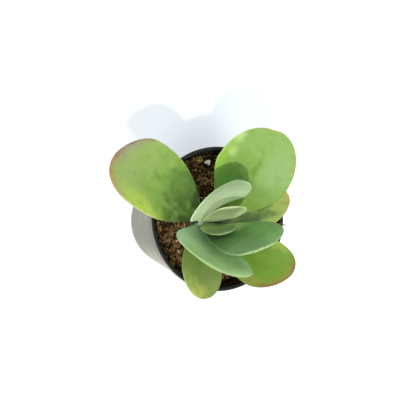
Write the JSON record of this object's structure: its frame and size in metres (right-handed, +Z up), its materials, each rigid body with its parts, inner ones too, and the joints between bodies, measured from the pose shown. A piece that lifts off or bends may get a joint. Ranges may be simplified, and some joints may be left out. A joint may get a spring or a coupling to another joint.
{
  "type": "potted paddle plant",
  "caption": "Young paddle plant with broad fleshy grey-green leaves on a short stem, growing in bark mix in a round tapering nursery pot.",
  "frame": {"origin": "middle of the pot's flat underside, where it stands on the bench", "axes": "+Z straight up through the pot's mouth, +X towards the side where the two long lower leaves reach over the rim, +Y towards the side where the big leaf stands up behind the stem"},
  "size_m": [0.1418, 0.1167, 0.1714],
  "materials": {
    "pot_grey": "satin, slightly scuffed",
    "bark_mix": "rough and dry, chips of bark with dark gaps",
    "perlite": "rough, matte",
    "stem_green": "smooth and matte with a pale bloom",
    "leaf_olive": "smooth and waxy, with a yellow to orange margin",
    "leaf_green": "smooth and waxy, with a thin red-brown margin",
    "leaf_bluish": "smooth and powdery, with a light margin",
    "leaf_pale": "powdery, with a heavy pale bloom"
  },
  "bodies": {
    "root": {"pot": "pot_grey", "soil": "bark_mix", "perlite_grain": "perlite", "stem": "stem_green", "leaf_lowest_south": "leaf_olive", "leaf_lowest_east": "leaf_olive", "leaf_outer_east": "leaf_green", "leaf_outer_west": "leaf_green", "leaf_broad_south": "leaf_bluish", "leaf_broad_north": "leaf_green", "leaf_inner_south": "leaf_bluish", "leaf_inner_north": "leaf_pale", "leaf_heart_south": "leaf_bluish", "leaf_heart_north": "leaf_pale"}
  },
  "joints": []
}
